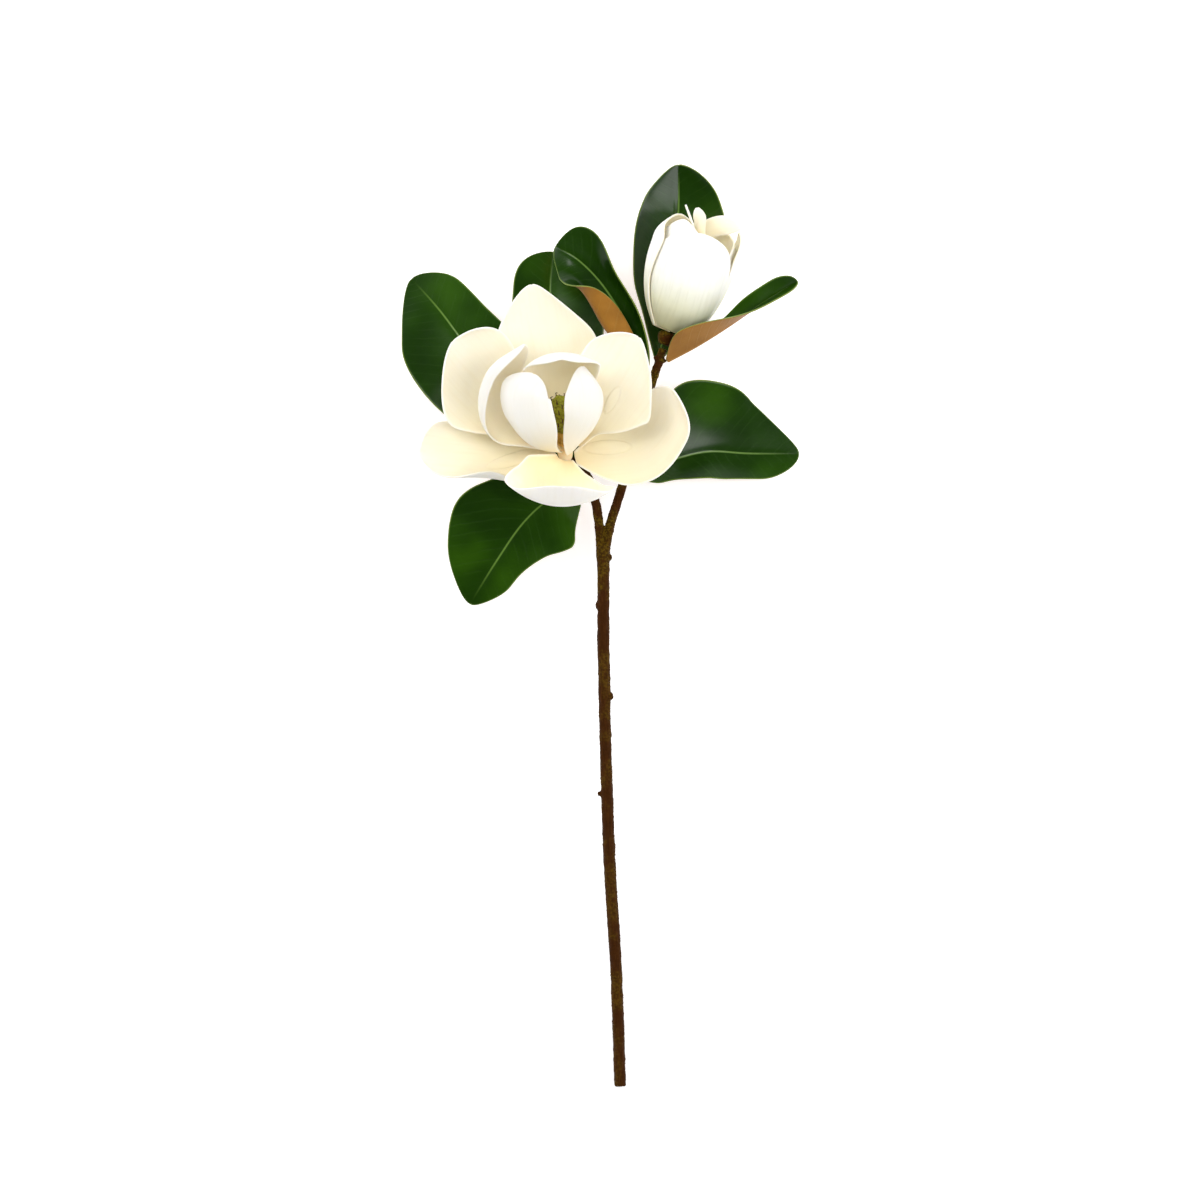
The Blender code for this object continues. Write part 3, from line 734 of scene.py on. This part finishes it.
# %% Paint the bud
GREEN_TO_WHITE = [
    (0.34, 0.33, 0.17), (0.72, 0.71, 0.52), (0.93, 0.92, 0.82), (0.96, 0.95, 0.89), (0.97, 0.95, 0.90)]
bud_outside = petal_paint("bud_outside", GREEN_TO_WHITE, (0.97, 0.95, 0.88), vein=0.12, mottle=0.03)
bud_inside = petal_paint("bud_inside", [(0.90, 0.80, 0.52), (0.95, 0.88, 0.68)], (0.97, 0.90, 0.72))
bud_rim = petal_paint("bud_rim", [(0.88, 0.78, 0.50), (0.95, 0.88, 0.70)], (0.96, 0.90, 0.72))
BUD_PAINTS = [bud_outside, bud_inside, bud_rim]
print("bud paints:", [paint.name for paint in BUD_PAINTS])

# %% The bud's foot, heart and wrapped petals
add_turned(
    "bud_stub", BUD_RECEPTACLE_PROFILE, 24, BUD_BASE, BUD_BASE_AXIS, bark_paint,
    "bark", "bud_receptacle")
add_turned(
    "bud_middle", BUD_HEART_PROFILE, 40, BUD_HEART_BASE, BUD_BASE_AXIS, bud_inside,
    "bud_white", "bud_heart")

BUD_WRAPS = {
    "bud_petal_front": dict(middle=92, spread=[72, 68, 66, 64, 60, 54], ends=(0.02, 0.84), layer=0),
    "bud_petal_left": dict(middle=212, spread=[56, 58, 60, 68, 72, 64], ends=(0.02, 0.95), layer=2.4),
    "bud_petal_right": dict(
        middle=-8, spread=[44, 42, 38, 34, 32, 28], ends=(0.02, 0.88), layer=-2.2, flare=6),
    "bud_petal_inner_left": dict(middle=140, spread=[40, 54, 58, 58, 58, 50], ends=(0.2, 0.92), layer=-4.4),
    "bud_petal_back": dict(middle=295, spread=[80, 88, 90, 92, 90, 80], ends=(0.2, 0.87), layer=-4.4),
}
BUD_CELLS = (32, 36)
BUD_THICKNESS = 1.5
for name, petal in BUD_WRAPS.items():
    sheet(name, bud_points, {**petal, "spine": BUD_AXIS}, BUD_CELLS, BUD_THICKNESS, BUD_PAINTS, "bud_white")

# %% Three loose petal tips at the bud's mouth
BUD_TIPS = {
    "bud_tip_flared": dict(
        spine=[(70, 648, 34), (74, 657, 36), (84, 662, 38), (94, 663, 41), (105, 661, 44)],
        face=[(0, 0, -1), (0, 0, -1), (0, -0.5, -1)],
        left=[4, 7, 8, 8, 6], right=[4, 7, 8, 8, 6], curl_left=[20, 30, 30], curl_right=[20, 30, 30]),
    "bud_tip_curled": dict(
        spine=[(72, 651, 48), (72, 660, 49), (72, 669, 49), (70, 676, 46)],
        face=[(0, 0, -1), (0, 0, -1), (0, -1, -1)],
        left=[4, 6, 7, 5], right=[4, 6, 7, 5], curl_left=[60, 100, 60], curl_right=[60, 100, 60]),
    "bud_tip_spike": dict(
        spine=[(69, 651, 57), (67, 660, 58), (64, 669, 58), (61, 678, 57)],
        face=[(1, 0, 0), (1, 0.2, 0), (1, 0.3, 0)],
        left=[2, 3, 3, 2], right=[2, 3, 3, 2], curl_left=[10, 20, 10], curl_right=[10, 20, 10]),
}
BUD_TIP_CELLS = (14, 16)
TIP_PAINTS = [shaded_ivory_back, ivory_face, ivory_rim]
for name, petal in BUD_TIPS.items():
    sheet(name, blade_points, petal, BUD_TIP_CELLS, BUD_THICKNESS, TIP_PAINTS, "bud_white")

# %% [markdown]
# ## The finish of a leaf
# A magnolia leaf is leathery. Its face is deep green and shines as if varnished, its back is dull
# rust brown, and a pale line runs round its rim. The midrib is a lighter line. Side veins leave it
# at a steep angle and fork: they are one wave that repeats along the leaf and leans with the
# distance from the midrib, bent a little by noise.


# %% Paint the leaves
VEIN_SPACING = 9.0
VEIN_LEAN = 0.75


def leaf_coordinates(paint):
    """Distances across, along and away from a leaf's midrib, with the side veins' pattern."""
    across, along = paint.read("across_mm"), paint.read("along_mm")
    away = across.size()
    bend = paint.noise(paint.where(), 60, 2)
    wave = (along - away * VEIN_LEAN + bend * 5) * (2 * math.pi / VEIN_SPACING)
    return across, along, away, wave.sine().rise(0.8, 1.0) * bend.rise(0.3, 0.6)


leaf_gloss = Paint("leaf_face", Specular_IOR_Level=0.08, Coat_Weight=0.6, Coat_Roughness=0.16, Coat_IOR=1.45)
across, along, away, side_veins = leaf_coordinates(leaf_gloss)
fine = leaf_gloss.noise(leaf_gloss.vector(across * 0.5, along * 0.5), 1.1, 3)
blotches = leaf_gloss.noise(leaf_gloss.where(), 14, 2)
green = leaf_gloss.shades(
    blotches.rise(0.2, 0.8), (0.003, 0.015, 0.0004), (0.009, 0.035, 0.0006), (0.024, 0.078, 0.001))
puckers = leaf_gloss.noise(leaf_gloss.where(), 75, 2)
veined = leaf_gloss.mix(side_veins * 0.07, green, (0.05, 0.13, 0.015))
midrib = away.rise(1.1, 0.25) * leaf_gloss.read("share").rise(1.0, 0.7)
ribbed = leaf_gloss.mix(midrib * 0.8, veined, (0.13, 0.24, 0.04))
leaf_edge = leaf_gloss.read("margin_mm").rise(1.3, 0.4)
leaf_colour = leaf_gloss.mix(leaf_edge * 0.5, ribbed, (0.16, 0.26, 0.04))
relief = fine * 0.3 + puckers * 5 - side_veins * 0.7 - midrib
leaf_face = leaf_gloss.finish(leaf_colour, 0.32 + 0.14 * blotches, relief, 0.18)

rust = Paint("leaf_back", Specular_IOR_Level=0.25, Sheen_Weight=0.15)
_, _, away, side_veins = leaf_coordinates(rust)
felt = rust.noise(rust.where(), 500, 3)
clouds = rust.noise(rust.where(), 32, 3)
ochre = rust.shades(clouds, (0.15, 0.060, 0.003), (0.30, 0.13, 0.014), (0.42, 0.19, 0.03))
rust_colour = rust.mix(away.rise(1.6, 0.6) * 0.5 + side_veins * 0.08, ochre, (0.42, 0.26, 0.07))
leaf_back = rust.finish(rust_colour, 0.7, felt * 0.5 + side_veins * 0.5, 0.25)

rim = Paint("leaf_rim", Specular_IOR_Level=0.4)
shade = rim.noise(rim.where(), 120, 2)
leaf_rim = rim.finish(rim.mix(shade, (0.12, 0.17, 0.03), (0.26, 0.33, 0.07)), 0.45, shade, 0.1)
LEAF_PAINTS = [leaf_face, leaf_back, leaf_rim]
print("leaf paints:", [paint.name for paint in LEAF_PAINTS])

# %% Seven leaves
LEAVES = {
    "leaf_upper_left": dict(
        spine=[(-18, 472, 35), (-58, 513, 31), (-97, 557, 25), (-127, 597, 14), (-150, 623, 0.8)],
        face=[(0, 0, 1), (0, 0, 1), (0, 0, 1)],
        left=[3, 24, 41, 49, 46, 29, 16], right=[3, 18, 29, 35, 30, 26, 19],
        curl_left=[0, 10, 0], curl_right=[0, 10, 0], fold=6, tip=0.2),
    "leaf_behind_flower": dict(
        spine=[(-12, 474, 33), (-30, 518, 22), (-37, 562, 16), (-43, 608, 9), (-41, 644, 0.8)],
        face=[(0, 0, 1), (0, 0, 1), (0, 0, 1)],
        left=[3, 16, 27, 33, 29, 30], right=[3, 17, 30, 40, 40, 36],
        curl_left=[0, 10, 0], curl_right=[0, 10, 0], fold=8, tip=0.2),
    "leaf_curled": dict(
        spine=[
            (29.6, 544.6, 38.4), (26, 567, 34), (14, 592, 32), (-4, 619, 32), (-22, 637, 32),
            (-39, 647, 28)],
        face=[(-0.2, 0, 1), (0, 0, 1), (0, 0, 1)],
        left=[3, 24, 42, 34, 22, 14], right=[3, 10, 18, 18, 25, 26],
        curl_left=[60, 190, 200, 140, 20, 0], curl_right=[20, 60, 75, 60, 10, 0],
        bend=[0, 0.1, 0.8, 1], fold=6, tip=0.2),
    "leaf_behind_bud": dict(
        spine=[(40, 560, 32), (49, 599, 6), (53, 636, 1), (56, 677, 2), (56, 711, 6)],
        face=[(0, 0, 1), (0, 0, 1), (0, 0, 1)],
        left=[3, 18, 29, 33, 33, 26, 15], right=[3, 17, 29, 37, 39, 31, 24],
        curl_left=[0, 10, 10], curl_right=[0, 10, 20], fold=6, tip=0.2),
    "leaf_twisted": dict(
        spine=[(47, 558, 42), (70, 570, 46), (94, 585, 48), (120, 603, 50), (147, 620, 46)],
        face=[(-0.45, 0.9, -0.1), (-0.45, 0.9, 0.1), (-0.4, 0.8, 0.4), (-0.2, 0.5, 0.85), (-0.1, 0.2, 1)],
        left=[3, 6, 7, 8, 11, 12, 12], right=[3, 24, 26, 20, 14, 10, 9],
        curl_left=[0, 10, 0], curl_right=[0, 10, 0], fold=40, tip=0.14),
    "leaf_right": dict(
        spine=[(23, 470, 31), (43, 480, 27), (77, 489, 21), (110, 488, 12), (149, 488, 0.8)],
        face=[(0, 0, 1), (0, 0, 1), (0, 0, 1)],
        left=[3, 9, 34, 56, 54, 44, 27, 13], right=[3, 13, 16, 21, 23, 21, 20, 17],
        curl_left=[0, 10, 0], curl_right=[0, 30, 0], fold=6, tip=0.2),
    "leaf_lower_left": dict(
        spine=[(-17, 465, 32), (-43, 453, 29), (-64, 434, 23), (-85, 404, 12), (-105, 372, 0.8)],
        face=[(0, 0, 1), (0, 0, 1), (0, 0, 1)],
        left=[3, 26, 40, 39, 30, 22, 19, 12], right=[3, 18, 31, 42, 52, 46, 33, 19],
        curl_left=[0, 10, 0], curl_right=[0, 10, 0], fold=6, tip=0.2),
}
LEAF_CELLS = (32, 50)
LEAF_THICKNESS = 1.2
MIDRIB_CREASE = 0.5
for name, leaf in LEAVES.items():
    creased = {**leaf, "crease": MIDRIB_CREASE}
    sheet(name, blade_points, creased, LEAF_CELLS, LEAF_THICKNESS, LEAF_PAINTS, "leaf_green")

# %% [markdown]
# ## The studio
# The branch lies on a plain pale table and is seen from straight above. A long lens keeps near and
# far petals at one scale. The sky is pale near the horizon and dim overhead, because a leaf that
# lies flat mirrors what is overhead, and would look grey under a bright ceiling. Three wide lamps
# light the branch without showing in its shine. Two smaller ones do show, as pale patches on the
# leaves that tilt to them.

# %% Table, sky and lamps
TABLE_WIDTH = 60
table = bmesh.new()
bmesh.ops.create_grid(table, x_segments=1, y_segments=1, size=TABLE_WIDTH / 2)
table_mesh = bpy.data.meshes.new("table")
table.to_mesh(table_mesh)
table.free()
table_top = bpy.data.objects.new("table", table_mesh)
bpy.context.scene.collection.objects.link(table_top)
white = Paint("table_white", Roughness=0.9, Specular_IOR_Level=0.1, Emission_Strength=0.5)
white.put(white.shader.inputs["Emission Color"], (1, 1, 1))
cloth = white.noise(white.where(), 3, 2)
off_white = white.mix(cloth, (0.90, 0.90, 0.90), (0.93, 0.93, 0.93))
table_mesh.materials.append(white.finish(off_white, 0.9, cloth, 0.1))

sky = bpy.data.worlds.new("sky")
bpy.context.scene.world = sky
sky.use_nodes = True
sky_nodes = sky.node_tree
heading = sky_nodes.nodes.new("ShaderNodeTexCoord")
parts = sky_nodes.nodes.new("ShaderNodeSeparateXYZ")
ramp = sky_nodes.nodes.new("ShaderNodeValToRGB")
sky_nodes.links.new(heading.outputs["Generated"], parts.inputs[0])
sky_nodes.links.new(parts.outputs["Z"], ramp.inputs[0])
sky_nodes.links.new(ramp.outputs["Color"], sky_nodes.nodes["Background"].inputs["Color"])
pale, dim = ramp.color_ramp.elements
pale.position = 0.35
pale.color = (1, 1, 1, 1)
dim.position = 0.7
dim.color = (0.02, 0.02, 0.02, 1)
sky_nodes.nodes["Background"].inputs["Strength"].default_value = 1.0


def softbox(name, from_direction, distance, size, watts, mirrored=False):
    """A square lamp that looks at the flower. Only a mirrored one shows in shiny surfaces."""
    low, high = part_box("seed_cone")
    aim = (low + high) / 2
    lamp = bpy.data.lights.new(name, "AREA")
    lamp.size = size
    lamp.energy = watts
    holder = bpy.data.objects.new(name, lamp)
    holder.location = aim + Vector(from_direction).normalized() * distance
    holder.rotation_euler = Vector(from_direction).to_track_quat("Z", "Y").to_euler()
    holder.visible_camera = False
    holder.visible_glossy = mirrored
    bpy.context.scene.collection.objects.link(holder)


softbox("key", (-0.9, 0.6, 1.1), 2.2, 1.2, 24)
softbox("fill", (1.2, 0.1, 0.9), 2.4, 1.6, 24)
softbox("front", (0.1, 0.1, 1), 2.6, 1.6, 13)
softbox("left_shine", (-0.2, 0.38, 1), 2.5, 0.7, 10, mirrored=True)
softbox("right_shine", (0.5, -0.1, 1), 2.5, 0.7, 9, mirrored=True)
bpy.context.scene.view_settings.view_transform = "Standard"
print("lamps:", [lamp.name for lamp in bpy.data.lights])

# %% The camera looks straight down
VIEW_WIDTH = 0.9204
LENS, SENSOR = 300, 36
MEASURED_HEIGHT = 0.05
VIEW_MIDDLE = (-4.6, 375.1, 0)
camera_data = bpy.data.cameras.new("above")
camera_data.lens = LENS
camera_data.sensor_width = SENSOR
camera_data.clip_end = 100
camera = bpy.data.objects.new("above", camera_data)
middle = np.array(VIEW_MIDDLE) * MM + SHIFT
camera.location = (middle[0], middle[1], MEASURED_HEIGHT + VIEW_WIDTH * LENS / SENSOR)
bpy.context.scene.collection.objects.link(camera)
bpy.context.scene.camera = camera
print("camera height:", round(camera.location.z, 2), "m")
